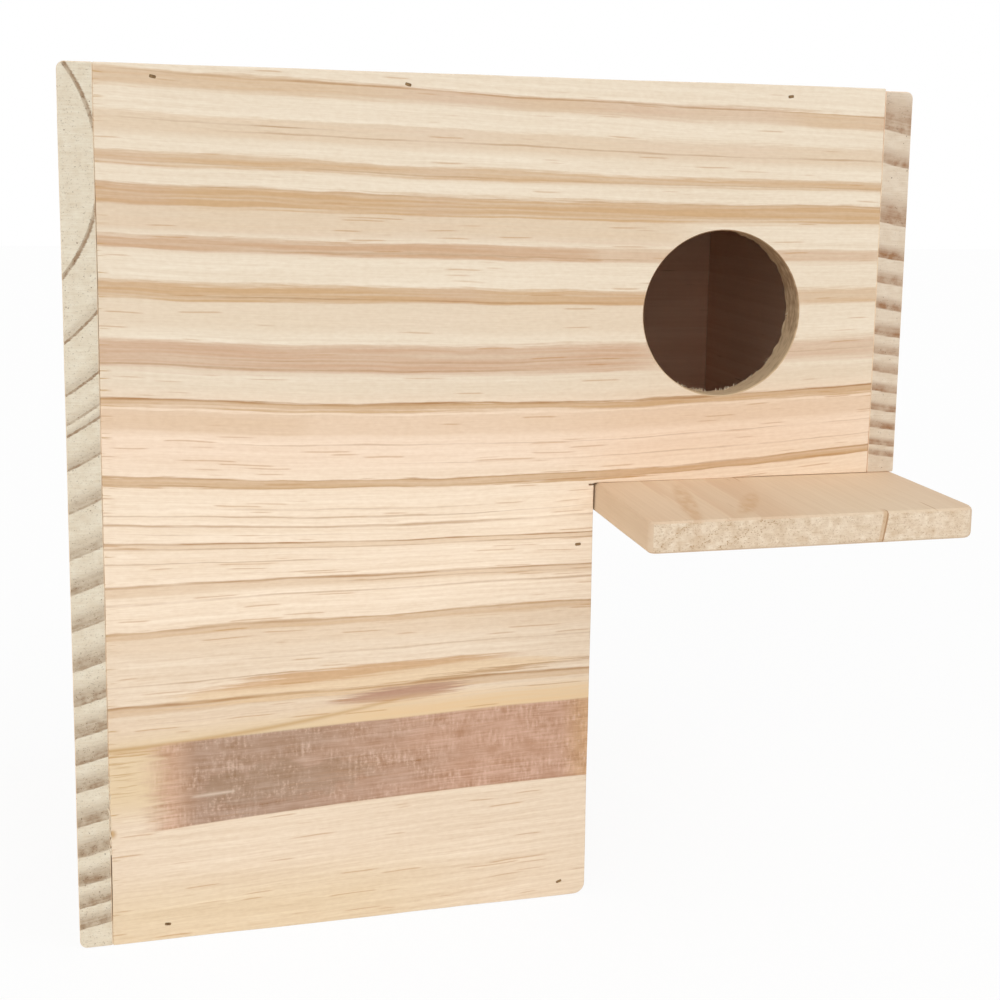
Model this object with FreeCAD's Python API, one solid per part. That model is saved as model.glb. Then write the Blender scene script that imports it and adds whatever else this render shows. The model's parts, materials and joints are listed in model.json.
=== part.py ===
import FreeCAD, Part
import os

# An L-shaped pine nest box. Sizes are in millimetres.
# Worked out from the left outer face (x), the front face (y) and the base (z).
# At the end everything is moved so that the origin is the middle of the base.

Vector = FreeCAD.Vector

# Box
box_height = 300.0
box_width = 300.0
box_depth = 180.0
board = 11.0
tower_width = 181.0
landing_height = 157.0
landing_reach = 60.0
landing_end_gap = 0.6
right_side_setdown = 0.8
edge_ease = 0.4
lower_corner_round = 4.0
side_corner_round = 2.5
landing_corner_round = 3.0
landing_edge_ease = 1.2
overcut_length = 2.0
overcut_width = 0.8

# Entrance
entrance_diameter = 60.0
entrance_above_landing = 61.0
entrance_from_right = 72.0

# Holes to hang the box by
hanger_hole_diameter = 6.0
hanger_spacing = 140.0
hanger_below_top = 35.0

# Brad nails
nail_diameter = 1.3
nail_length = 25.0
nail_point = 2.0
nail_set = 0.5
fastener_clearance = 0.05
roof_nail_below_top = 4.0
floor_nail_height = 5.7
front_nail_from_left = 29.5
roof_nail_step = 83.0
roof_nail_from_right = 48.5
floor_nail_from_tower_edge = 10.0
rail_nail_above_rail_bottom = 13.7
side_nail_from_end = 40.0
side_nail_from_corner = 60.0
right_nail_from_end = 36.0
landing_nail_from_tower = 34.0
landing_nail_from_right = 35.0

# Inspection door
rail_height = 36.0
door_gap = 1.0
stop_section = 8.0
stop_gap = 0.3
rung_section = 8.0
rung_from_door_edge = 22.0
rung_count = 3

# Knob
knob_diameter = 16.0
knob_height = 11.0
knob_neck_diameter = 10.0
knob_shoulder = 6.0
knob_waist_place = 0.55
knob_waist_swell = 0.15
knob_dome_fullness = 0.72
knob_flat_diameter = 2.0
knob_peg_diameter = 6.0
knob_peg_length = 8.0
knob_from_free_edge = 33.0

# Butt hinges
hinge_height = 30.0
hinge_from_door_end = 10.0
leaf_width = 10.5
leaf_thickness = 1.0
knuckle_radius = 2.0
knuckle_lift = 0.3
knuckle_gap = 0.3
pin_radius = 1.0
pin_clearance = 0.08
pin_head_radius = 1.6
pin_head_height = 0.8
hinge_screw_radius = 1.0
hinge_screw_head_radius = 1.9
hinge_screw_length = 8.5
hinge_screw_spacing = 18.0
screw_slot_width = 0.5
screw_slot_depth = 0.4

# Turn button
button_width = 12.0
button_reach = 20.0
button_thickness = 5.0
button_play = 0.3
button_above_rail_bottom = 12.0
button_from_free_edge = 33.0
button_hole_clearance = 0.1
button_screw_radius = 1.6
button_screw_head_radius = 3.4
button_screw_head_height = 2.0
button_screw_grip = 8.0
washer_radius = 4.5
washer_thickness = 0.8

# Places that several pieces share
inner_left = board
inner_right = box_width - board
inner_front = board
inner_back = box_depth - board
roof_underside = box_height - board
landing_underside = landing_height - board
door_inner_face = tower_width - board
rail_bottom = landing_height - rail_height
door_bottom = board + door_gap
door_top = rail_bottom - door_gap
door_free_edge = inner_front + door_gap
door_hinge_edge = inner_back - door_gap
hinge_axis_x = tower_width + knuckle_lift + knuckle_radius
hinge_axis_y = inner_back - door_gap / 2
leaf_start = knuckle_radius + knuckle_gap
same_place = 0.01
entrance_x = box_width - entrance_from_right
entrance_z = landing_height + entrance_above_landing

to_right = Vector(1, 0, 0)
to_left = Vector(-1, 0, 0)
to_back = Vector(0, 1, 0)
to_front = Vector(0, -1, 0)
up = Vector(0, 0, 1)


def block(x0, x1, y0, y1, z0, z1):
    return Part.makeBox(x1 - x0, y1 - y0, z1 - z0, Vector(x0, y0, z0))


def plank(x0, x1, y0, y1, z0, z1):
    solid = block(x0, x1, y0, y1, z0, z1)
    return solid.makeFillet(edge_ease, solid.Edges)


def rod(start, direction, radius, length):
    return Part.makeCylinder(radius, length, start, direction)


def sawn_board(corners, front_y, depth, rounded):
    # A board seen from the front: its corners (x, z), and the corners that are rounded, with their radius.
    outline = Part.makePolygon([Vector(x, front_y, z) for x, z in corners + corners[:1]])
    solid = Part.Face(outline).extrude(Vector(0, depth, 0))
    for (x, z), radius in rounded.items():
        corner = [
            edge
            for edge in solid.Edges
            if all(abs(v.X - x) + abs(v.Z - z) < same_place for v in edge.Vertexes)
        ]
        solid = solid.makeFillet(radius, corner)
    rims = [edge for edge in solid.Edges if edge.BoundBox.YLength < same_place]
    return solid.makeFillet(edge_ease, rims)


def l_panel(front_y):
    # The tall leg and the short leg are one board.
    corners = [
        (inner_left, 0),
        (tower_width, 0),
        (tower_width, landing_height),
        (inner_right, landing_height),
        (inner_right, box_height),
        (inner_left, box_height),
    ]
    return sawn_board(corners, front_y, board, {(tower_width, 0): lower_corner_round})


def left_side():
    corners = [(0, 0), (board, 0), (board, box_height), (0, box_height)]
    rounded = {corner: side_corner_round for corner in (corners[0], corners[3])}
    return sawn_board(corners, 0, box_depth, rounded)


def right_side():
    top = box_height - right_side_setdown
    corners = [
        (inner_right, landing_height),
        (box_width, landing_height),
        (box_width, top),
        (inner_right, top),
    ]
    return sawn_board(corners, 0, box_depth, {(box_width, top): side_corner_round})


def front_panel():
    entrance = rod(Vector(entrance_x, 0, entrance_z), to_back, entrance_diameter / 2, board)
    # The saw ran a little past the inner corner of the L.
    overcut_floor = landing_height - overcut_width
    overcut = block(tower_width - overcut_length, tower_width, 0, board, overcut_floor, landing_height)
    return l_panel(0).cut([entrance, overcut])


def back_panel():
    middle = box_width / 2
    height = box_height - hanger_below_top
    places = [Vector(middle + side * hanger_spacing / 2, inner_back, height) for side in (-1, 1)]
    return l_panel(inner_back).cut([rod(place, to_back, hanger_hole_diameter / 2, board) for place in places])


def landing_board():
    left_end = tower_width + landing_end_gap
    solid = block(left_end, box_width, -landing_reach, box_depth, landing_underside, landing_height)
    front_corners = [
        edge
        for edge in solid.Edges
        if all(abs(v.Y + landing_reach) < same_place for v in edge.Vertexes)
        and edge.BoundBox.ZLength > same_place
    ]
    solid = solid.makeFillet(landing_corner_round, front_corners)
    rims = [edge for edge in solid.Edges if edge.BoundBox.ZLength < same_place]
    return solid.makeFillet(landing_edge_ease, rims)


def nail(head, direction):
    start = head + direction * nail_set
    straight = nail_length - nail_point
    shank = rod(start, direction, nail_diameter / 2, straight)
    point = Part.makeCone(nail_diameter / 2, 0, nail_point, start + direction * straight, direction)
    return shank.fuse(point)


def nail_bore(head, direction):
    return rod(head, direction, nail_diameter / 2 + fastener_clearance, nail_set + nail_length)


def countersunk_screw(surface, direction, grow):
    # A head that ends flush with the surface, and a shank with a point.
    head_height = hinge_screw_head_radius - hinge_screw_radius
    point = 2 * hinge_screw_radius
    shank_length = hinge_screw_length - point
    shank_radius = hinge_screw_radius + grow
    head = Part.makeCone(hinge_screw_head_radius + grow, shank_radius, head_height, surface, direction)
    shank = rod(surface, direction, shank_radius, shank_length)
    tip = Part.makeCone(shank_radius, 0, point + grow, surface + direction * shank_length, direction)
    return head.fuse([shank, tip]).removeSplitter()


def slot_across(surface, direction, radius):
    # A driver slot, cut level across a screw head.
    slot = Part.makeBox(2 * radius, screw_slot_width, screw_slot_depth)
    slot.translate(Vector(-radius, -screw_slot_width / 2, 0))
    slot.Placement = FreeCAD.Placement(surface, FreeCAD.Rotation(up, direction)).multiply(slot.Placement)
    return slot


def hinge_screw(surface, direction):
    slot = slot_across(surface, direction, 2 * hinge_screw_head_radius)
    return countersunk_screw(surface, direction, 0).cut(slot)


def leaf(side, spans, low, high):
    # side is 1 for the frame and -1 for the door; spans are the heights of its own knuckles.
    def across(near, far, z0, z1):
        ys = sorted((hinge_axis_y + side * near, hinge_axis_y + side * far))
        return block(tower_width, tower_width + leaf_thickness, ys[0], ys[1], z0, z1)

    solid = across(leaf_start, leaf_width, low, high)
    for z0, z1 in spans:
        barrel = rod(Vector(hinge_axis_x, hinge_axis_y, z0), up, knuckle_radius, z1 - z0)
        solid = solid.fuse([across(0, leaf_start, z0, z1), barrel])
    bore = rod(Vector(hinge_axis_x, hinge_axis_y, low), up, pin_radius + pin_clearance, high - low)
    return solid.cut(bore).removeSplitter()


def leaf_screw_places(side, low):
    middle = low + hinge_height / 2
    y = hinge_axis_y + side * (leaf_start + leaf_width) / 2
    x = tower_width + leaf_thickness
    return [Vector(x, y, middle + end * hinge_screw_spacing / 2) for end in (-1, 1)]


def hinge(low):
    high = low + hinge_height
    length = (hinge_height - 2 * knuckle_gap) / 3
    step = length + knuckle_gap
    spans = [(low + i * step, low + i * step + length) for i in range(3)]
    pin = rod(Vector(hinge_axis_x, hinge_axis_y, low), up, pin_radius, hinge_height)
    heads = [
        rod(Vector(hinge_axis_x, hinge_axis_y, z), up, pin_head_radius, pin_head_height)
        for z in (low - pin_head_height, high)
    ]
    return leaf(1, [spans[0], spans[2]], low, high), leaf(-1, [spans[1]], low, high), pin.fuse(heads)


def knob(y, z):
    # Turned about an axis square to the door: peg, waist and domed crown.
    radius = knob_diameter / 2
    neck = knob_neck_diameter / 2
    peg = knob_peg_diameter / 2
    crown = knob_height - knob_shoulder
    waist = Vector(knob_waist_place * knob_shoulder, neck + knob_waist_swell * (radius - neck), 0)
    dome = Vector(knob_shoulder + knob_dome_fullness * crown, knob_dome_fullness * radius, 0)
    shoulder = Vector(knob_shoulder, radius, 0)
    flat_rim = Vector(knob_height, knob_flat_diameter / 2, 0)
    neck_rim = Vector(0, neck, 0)
    straight = [
        flat_rim,
        Vector(knob_height, 0, 0),
        Vector(-knob_peg_length, 0, 0),
        Vector(-knob_peg_length, peg, 0),
        Vector(0, peg, 0),
        neck_rim,
    ]
    edges = Part.makePolygon(straight).Edges
    edges.append(Part.Arc(neck_rim, waist, shoulder).toShape())
    edges.append(Part.Arc(shoulder, dome, flat_rim).toShape())
    solid = Part.Face(Part.Wire(edges)).revolve(Vector(0, 0, 0), to_right, 360)
    solid.translate(Vector(tower_width, y, z))
    return solid


def turn_button(y, z):
    # At rest it lies level, clear of the door.
    x0 = tower_width + button_play
    half = button_width / 2
    body = block(x0, x0 + button_thickness, y, y + button_reach, z - half, z + half)
    ends = [rod(Vector(x0, y + reach, z), to_right, half, button_thickness) for reach in (0, button_reach)]
    hole = rod(Vector(x0, y, z), to_right, button_screw_radius + button_hole_clearance, button_thickness)
    solid = body.fuse(ends).removeSplitter()
    rims = [edge for edge in solid.Edges if edge.BoundBox.XLength < same_place]
    return solid.makeFillet(edge_ease, rims).cut(hole)


washer_x = tower_width + 2 * button_play + button_thickness
button_y = door_free_edge + button_from_free_edge
button_z = rail_bottom + button_above_rail_bottom


def button_washer():
    seat = Vector(washer_x, button_y, button_z)
    ring = rod(seat, to_right, washer_radius, washer_thickness)
    return ring.cut(rod(seat, to_right, button_screw_radius + button_hole_clearance, washer_thickness))


def button_screw(grow):
    seat = Vector(washer_x + washer_thickness, button_y, button_z)
    reach = washer_x + washer_thickness - tower_width + button_screw_grip
    shank = rod(seat, to_left, button_screw_radius + grow, reach)
    head = rod(seat, to_right, button_screw_head_radius, button_screw_head_height)
    top = seat + to_right * button_screw_head_height
    rim = [edge for edge in head.Edges if all(abs(v.X - top.x) < same_place for v in edge.Vertexes)]
    head = head.makeFillet(button_screw_head_height / 2, rim)
    return shank.fuse(head).cut(slot_across(top, to_left, 2 * button_screw_head_radius))


# Where each group of nails goes in, and which way it is driven
roof_nail_height = box_height - roof_nail_below_top
roof_nail_xs = [front_nail_from_left, front_nail_from_left + roof_nail_step, box_width - roof_nail_from_right]
floor_nail_xs = [front_nail_from_left, tower_width - floor_nail_from_tower_edge]
rail_nail = (tower_width - board / 2, rail_bottom + rail_nail_above_rail_bottom)
panel_nails = [(x, roof_nail_height) for x in roof_nail_xs]
panel_nails += [(x, floor_nail_height) for x in floor_nail_xs] + [rail_nail]
panel_middles = [board / 2, box_depth - board / 2]
side_middles = [side_nail_from_corner, box_depth - side_nail_from_corner]
left_heights = [side_nail_from_end, box_height / 2, box_height - side_nail_from_end]
right_heights = [landing_height + right_nail_from_end, box_height - right_nail_from_end]
landing_xs = [tower_width + landing_nail_from_tower, box_width - landing_nail_from_right]

left_places = [(y, z) for y in panel_middles for z in left_heights]
left_places += [(y, z) for y in side_middles for z in (board / 2, box_height - board / 2)]
right_places = [(y, z) for y in panel_middles for z in right_heights]
right_places += [(y, box_height - board / 2) for y in side_middles]
landing_places = [(x, y) for x in landing_xs for y in panel_middles]
landing_places += [(box_width - board / 2, y) for y in side_middles]

nail_groups = {
    "front_nails": (to_back, [Vector(x, 0, z) for x, z in panel_nails]),
    "back_nails": (to_front, [Vector(x, box_depth, z) for x, z in panel_nails]),
    "left_nails": (to_right, [Vector(0, y, z) for y, z in left_places]),
    "right_nails": (to_left, [Vector(box_width, y, z) for y, z in right_places]),
    "landing_nails": (up, [Vector(x, y, landing_underside) for x, y in landing_places]),
    "rail_nails": (to_right, [Vector(door_inner_face, y, landing_height - board / 2) for y in side_middles]),
}

hinge_lows = {
    "lower": door_bottom + hinge_from_door_end,
    "upper": door_top - hinge_from_door_end - hinge_height,
}
screw_places = {}
for side in (1, -1):
    screw_places[side] = [place for low in hinge_lows.values() for place in leaf_screw_places(side, low)]
knob_y = door_free_edge + knob_from_free_edge
knob_z = (door_bottom + door_top) / 2
rung_step = (door_top - door_bottom) / (rung_count + 1)

parts = {
    "front_panel": front_panel(),
    "back_panel": back_panel(),
    "left_side": left_side(),
    "right_side": right_side(),
    "roof": plank(inner_left, inner_right, inner_front, inner_back, roof_underside, box_height),
    "nest_floor": plank(inner_left, tower_width, inner_front, inner_back, 0, board),
    "landing_board": landing_board(),
    "head_rail": plank(door_inner_face, tower_width, inner_front, inner_back, rail_bottom, landing_height),
    "inspection_door": plank(
        door_inner_face, tower_width, door_free_edge, door_hinge_edge, door_bottom, door_top
    ),
    "door_stop": plank(
        door_inner_face - stop_gap - stop_section,
        door_inner_face - stop_gap,
        inner_front,
        inner_front + stop_section,
        board,
        rail_bottom,
    ),
}
wooden = list(parts)
for i in range(rung_count):
    rung_z = door_bottom + (i + 1) * rung_step
    parts[f"climbing_rung_{i + 1}"] = plank(
        door_inner_face - rung_section,
        door_inner_face,
        door_free_edge + rung_from_door_edge,
        door_hinge_edge - rung_from_door_edge,
        rung_z - rung_section / 2,
        rung_z + rung_section / 2,
    )

# Every nail and screw has its own hole in the wood that it goes through.
bores = [nail_bore(head, way) for way, heads in nail_groups.values() for head in heads]
all_screw_places = screw_places[1] + screw_places[-1]
screw_bores = [countersunk_screw(place, to_left, fastener_clearance) for place in all_screw_places]
peg_hole = rod(
    Vector(tower_width, knob_y, knob_z), to_left, knob_peg_diameter / 2 + fastener_clearance, knob_peg_length
)
bores += screw_bores + [button_screw(fastener_clearance), peg_hole]
for name in wooden:
    parts[name] = parts[name].cut(bores)

for name, (way, heads) in nail_groups.items():
    parts[name] = Part.makeCompound([nail(head, way) for head in heads])

for name, low in hinge_lows.items():
    frame_leaf, door_leaf, pin = hinge(low)
    parts[f"{name}_hinge_frame_leaf"] = frame_leaf.cut(screw_bores)
    parts[f"{name}_hinge_door_leaf"] = door_leaf.cut(screw_bores)
    parts[f"{name}_hinge_pin"] = pin
parts["frame_hinge_screws"] = Part.makeCompound([hinge_screw(p, to_left) for p in screw_places[1]])
parts["door_hinge_screws"] = Part.makeCompound([hinge_screw(p, to_left) for p in screw_places[-1]])

parts["door_knob"] = knob(knob_y, knob_z)
parts["turn_button"] = turn_button(button_y, button_z)
parts["button_washer"] = button_washer()
parts["button_screw"] = button_screw(0)

# The origin is the middle of the base that the tall leg stands on.
origin = Vector(tower_width / 2, box_depth / 2, 0)
os.makedirs("parts", exist_ok=True)
for name, shape in parts.items():
    shape.translate(origin * -1)
    shape.exportStep(f"parts/{name}.step")
    print(name, len(shape.Solids), "valid" if shape.isValid() else "NOT VALID", round(shape.Volume, 2))
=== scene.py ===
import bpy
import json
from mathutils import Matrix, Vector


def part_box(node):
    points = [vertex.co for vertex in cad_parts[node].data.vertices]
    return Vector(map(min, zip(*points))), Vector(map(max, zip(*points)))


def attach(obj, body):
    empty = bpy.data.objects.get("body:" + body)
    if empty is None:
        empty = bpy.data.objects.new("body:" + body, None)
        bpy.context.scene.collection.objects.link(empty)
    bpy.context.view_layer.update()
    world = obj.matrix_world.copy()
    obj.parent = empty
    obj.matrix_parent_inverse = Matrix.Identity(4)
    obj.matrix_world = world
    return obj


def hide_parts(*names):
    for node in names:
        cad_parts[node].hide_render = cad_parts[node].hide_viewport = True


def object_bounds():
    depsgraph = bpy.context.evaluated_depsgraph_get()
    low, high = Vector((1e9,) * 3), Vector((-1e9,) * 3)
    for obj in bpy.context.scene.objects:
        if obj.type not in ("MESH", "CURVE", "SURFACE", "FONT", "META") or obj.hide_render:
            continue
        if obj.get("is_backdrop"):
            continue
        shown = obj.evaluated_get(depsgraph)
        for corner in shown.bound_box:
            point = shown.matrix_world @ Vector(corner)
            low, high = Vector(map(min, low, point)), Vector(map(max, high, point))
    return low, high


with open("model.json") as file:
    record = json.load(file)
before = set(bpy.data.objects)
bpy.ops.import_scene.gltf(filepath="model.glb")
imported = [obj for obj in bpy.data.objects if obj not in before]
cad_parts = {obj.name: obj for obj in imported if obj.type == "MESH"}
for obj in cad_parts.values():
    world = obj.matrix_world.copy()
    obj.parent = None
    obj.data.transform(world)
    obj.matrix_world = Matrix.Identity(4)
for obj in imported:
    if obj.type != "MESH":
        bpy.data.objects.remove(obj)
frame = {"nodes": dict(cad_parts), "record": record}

import inspect
import json
import math
import random

import bmesh
import bpy
from mathutils import Matrix, Quaternion, Vector, noise

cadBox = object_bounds()
nodes = frame["nodes"]
mm = 0.001
past = 3 * mm  # how far a cutter stands out of what it cuts
alongX, alongY, alongZ = 0, 1, 2
noise.seed_set(23)  # so that the sawn edges wobble alike at each run
print("frame loaded:", len(nodes), "nodes")


def otherAxes(axis):
    return [k for k in (alongX, alongY, alongZ) if k != axis]


# Colours and node helpers

def tone(code):
    # a screen colour "rrggbb" as the linear colour that nodes take
    channels = [int(code[i:i + 2], 16) / 255 for i in (0, 2, 4)]
    linear = [c / 12.92 if c <= 0.04045 else ((c + 0.055) / 1.055) ** 2.4 for c in channels]
    return (*linear, 1.0)


def label(name):
    # a socket's label for a name in this script: dashShare becomes Dash Share
    return "".join(" " + c if c.isupper() else c for c in name).title()


class wire:
    # a node's output, so that shading reads as sums and products
    def __init__(self, socket):
        self.socket = socket
        self.tree = socket.id_data

    def __add__(self, other):
        return maths("ADD", self, other)

    def __sub__(self, other):
        return maths("SUBTRACT", self, other)

    def __mul__(self, other):
        return maths("MULTIPLY", self, other)

    def __truediv__(self, other):
        return maths("DIVIDE", self, other)

    def smooth(self, start, end, low=0.0, high=1.0):
        # a soft step from low to high, falling where start is over end
        inputs = {"Value": self, "From Min": start, "From Max": end, "To Min": low, "To Max": high}
        return newNode("ShaderNodeMapRange", inputs, interpolation_type="SMOOTHSTEP")

    def split(self):
        made = newNode("ShaderNodeSeparateXYZ", {0: self})
        return [wire(socket) for socket in made.socket.node.outputs]


def feed(node, inputs):
    for key, value in inputs.items():
        if isinstance(value, wire):
            value.tree.links.new(value.socket, node.inputs[key])
        else:
            node.inputs[key].default_value = value


def newNode(kind, inputs, output=0, tree=None, **settings):
    # a node in the tree that its wires come from, as a wire of one output
    tree = tree or next(value.tree for value in inputs.values() if isinstance(value, wire))
    node = tree.nodes.new(kind)
    for key, value in settings.items():
        setattr(node, key, value)
    feed(node, inputs)
    return wire(node.outputs[output])


def maths(operation, *values):
    return newNode("ShaderNodeMath", dict(enumerate(values)), operation=operation)


def vectorMaths(operation, *values, output=0):
    return newNode("ShaderNodeVectorMath", dict(enumerate(values)), output, operation=operation)


def mixed(share, first, second, blend="MIX"):
    inputs = {0: share, 6: first, 7: second}  # the colour sockets of a mix node
    return newNode("ShaderNodeMix", inputs, 2, data_type="RGBA", blend_type=blend)


def joined(x, y, z):
    return newNode("ShaderNodeCombineXYZ", {0: x, 1: y, 2: z})


def noiseAt(point, size, detail=2.0):
    # size is about the length of one wave along each axis, in the point's units
    inputs = {"Vector": vectorMaths("DIVIDE", point, size), "Scale": 1.0, "Detail": detail}
    return newNode("ShaderNodeTexNoise", inputs)


def noiseAlong(place, scale=1.0, detail=2.0):
    inputs = {"W": place, "Scale": scale, "Detail": detail}
    return newNode("ShaderNodeTexNoise", inputs, noise_dimensions="1D")


# the socket for an argument, by its default: None stands for a material, and none at all for geometry
socketKinds = {float: "Float", int: "Int", tuple: "Vector", type(None): "Material", type: "Geometry"}


def startTree(build, kind):
    # a node tree whose named inputs are a function's arguments, and a wire of each
    tree = bpy.data.node_groups.new(build.__name__, kind)
    arguments = inspect.signature(build).parameters
    for name, argument in arguments.items():
        socketType = "NodeSocket" + socketKinds[type(argument.default)]
        socket = tree.interface.new_socket(label(name), in_out="INPUT", socket_type=socketType)
        if socketType not in ("NodeSocketMaterial", "NodeSocketGeometry"):
            socket.default_value = argument.default
    source = tree.nodes.new("NodeGroupInput").outputs
    return tree, {name: wire(source[label(name)]) for name in arguments}


def shaderGroup(build):
    # makes a shader group of a function that works out masks and values
    group, inputs = startTree(build, "ShaderNodeTree")
    results = build(**inputs)
    for name in results:
        group.interface.new_socket(name, in_out="OUTPUT", socket_type="NodeSocketFloat")
    feed(group.nodes.new("NodeGroupOutput"), results)
    return group


def useGroup(group, **inputs):
    # places a shader group and returns its outputs by name
    named = {label(name): value for name, value in inputs.items()}
    made = newNode("ShaderNodeGroup", named, node_tree=group)
    return {socket.name: wire(socket) for socket in made.socket.node.outputs}


# Shader groups that the wood finishes share. Points are in mm, with the grain along X.

@shaderGroup
def latewoodBand(field=0.0, along=0.0, low=0.0, high=1.0, softLow=1.0, softHigh=0.3, depth=1.0,
                 start=-1000.0, end=1000.0, fade=30.0):
    # one dark band of a growth ring, between two levels of a field and two ends along the grain
    body = field.smooth(low - softLow, low) * field.smooth(high + softHigh, high)
    reach = along.smooth(start - fade, start) * along.smooth(end + fade, end)
    return {"Mask": body * reach * depth}


@shaderGroup
def growthRings(point=(0.0, 0.0, 0.0), pithY=0.0, pithZ=0.0, ringWidth=8.0, sway=4.0, taper=0.01,
                fray=0.0, seed=0.0):
    # rings of uneven width round a pith line that lies along X
    along, across, up = point.split()
    shift = joined(seed * 977.0, 0.0, 0.0)
    wander = noiseAt(vectorMaths("ADD", point, shift), (170, 60, 60)) - 0.5
    sideways = across - pithY
    upward = up - pithZ
    radius = maths("SQRT", sideways * sideways + upward * upward)
    radius = radius + wander * sway + fray + along * taper
    count = radius / ringWidth
    uneven = noiseAlong(count + seed, 0.55)
    phase = maths("FRACT", uneven * 1.7 + count)
    return {"Late": phase.smooth(0.3, 0.86) * phase.smooth(1.0, 0.9)}


@shaderGroup
def pineFibre(point=(0.0, 0.0, 0.0), streakLength=80.0, streakWidth=1.3, dashLength=34.0, dashPitch=0.95,
              dashShare=0.3):
    # long pale and dark streaks, and thin dark dashes in lanes, both along the grain
    along, across, up = point.split()
    streak = noiseAt(point, joined(streakLength, streakWidth, streakWidth), 4.0) - 0.5
    lanes = (across * 0.83 + up) / dashPitch
    inputs = {"W": maths("FLOOR", lanes)}
    chance = newNode("ShaderNodeTexWhiteNoise", inputs, "Value", noise_dimensions="1D")
    run = noiseAlong(along / dashLength + chance * 613.0, detail=1.0)
    cut = dashShare * -0.3 + 0.98 - noiseAt(point, (60, 20, 20), 1.0) * 0.3
    lane = maths("FRACT", lanes)
    dash = run.smooth(cut, cut + 0.09) * (lane.smooth(0.1, 0.5) * lane.smooth(0.9, 0.5))
    fine = noiseAt(point, (9.0, 0.4, 0.4), 3.0) - 0.5
    fleck = noiseAt(point, (2.4, 1.1, 1.1)) - 0.5
    return {"Streak": streak, "Fine": fine, "Dash": dash, "Fleck": fleck, "Relief": fine - dash * 0.1}


@shaderGroup
def endPores(point=(0.0, 0.0, 0.0), poreSize=0.5, poreShare=0.5):
    # the cut ends of the fibres: dark specks, a soft mottle, faint saw lines and a few pits
    coarse = poreSize * 5.0
    speck = noiseAt(point, joined(4.0, poreSize, poreSize * 0.7))
    cut = poreShare * -0.2 + 0.76
    fuzz = noiseAt(point, joined(20.0, coarse, coarse), 4.0) - 0.5
    saw = noiseAt(point, (30.0, 7.0, 0.5)) - 0.5
    pit = noiseAt(point, (6.0, 1.0, 0.9), 0.0)
    return {"Pore": speck.smooth(cut, cut + 0.12), "Fuzz": fuzz, "Saw": saw, "Pit": pit.smooth(0.79, 0.85)}


@shaderGroup
def handling(point=(0.0, 0.0, 0.0), size=60.0):
    # broad faint changes of tone from light, resin and handling
    return {"Drift": noiseAt(point, joined(size * 1.6, size, size), 1.0) - 0.5}


print("shader groups ready")


# Wood finishes

def newMaterial(name):
    material = bpy.data.materials.new(name)
    material.use_nodes = True
    return material, material.node_tree.nodes["Principled BSDF"]


def grainPoint(material, grain, corner=(0.0, 0.0, 0.0)):
    # mm from a corner given in mm, turned so that the grain runs along X
    place = newNode("ShaderNodeTexCoord", {}, "Object", material.node_tree)
    axes = vectorMaths("SUBTRACT", vectorMaths("MULTIPLY", place, (1 / mm,) * 3), corner).split()
    return joined(axes[grain], *(axes[k] for k in otherAxes(grain)))


def relief(height, strength, distance):
    return newNode("ShaderNodeBump", {"Height": height, "Strength": strength, "Distance": distance * mm})


def bandShade(field, along, bands, fade=30.0):
    # the darkest of a list of bands: levels, softness below and above, depth, and its ends if it has any
    shade = 0.0
    for low, high, softLow, softHigh, depth, *ends in bands:
        start, end = ends or (-1000.0, 1000.0)
        band = useGroup(latewoodBand, field=field, along=along, low=low, high=high, softLow=softLow,
                        softHigh=softHigh, depth=depth, start=start, end=end, fade=fade)
        shade = maths("MAXIMUM", shade, band["Mask"])
    return shade


def ringShade(point, look, fray):
    # how far into latewood a point is: by the board's own ring ends, or by rings of one width
    pithY, pithZ = look["pith"]
    if "ringEnds" not in look:
        sizes = {key: look[key] for key in ("ringWidth", "sway", "taper", "seed")}
        return useGroup(growthRings, point=point, pithY=pithY, pithZ=pithZ, fray=fray, **sizes)["Late"]
    along, across, up = point.split()
    radius = vectorMaths("DISTANCE", joined(0.0, across, up), (0.0, pithY, pithZ), output="Value")
    sway = noiseAt(point, (150, 30, 30), 1.0) - 0.5
    radius = sway * look["sway"] + radius + fray
    bodies = [(end - 0.8, end, soft, 0.5, body) for end, soft, body, edge in look["ringEnds"]]
    edges = [(end - 0.45, end, 0.4, 0.35, edge) for end, soft, body, edge in look["ringEnds"]]
    threads = noiseAlong(radius / look["threadWidth"])
    late = bandShade(radius, along, bodies) * threads.smooth(0.3, 0.7, *look["threadDepth"])
    return maths("MAXIMUM", late, bandShade(radius, along, edges))


def shaded(colour, shift):
    # lighter or darker by a shift round 0, and warmer where it is darker
    gains = [shift * warmth + 1.0 for warmth in (0.7, 1.0, 1.35)]
    return mixed(1.0, colour, joined(*gains), "MULTIPLY")


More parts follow.
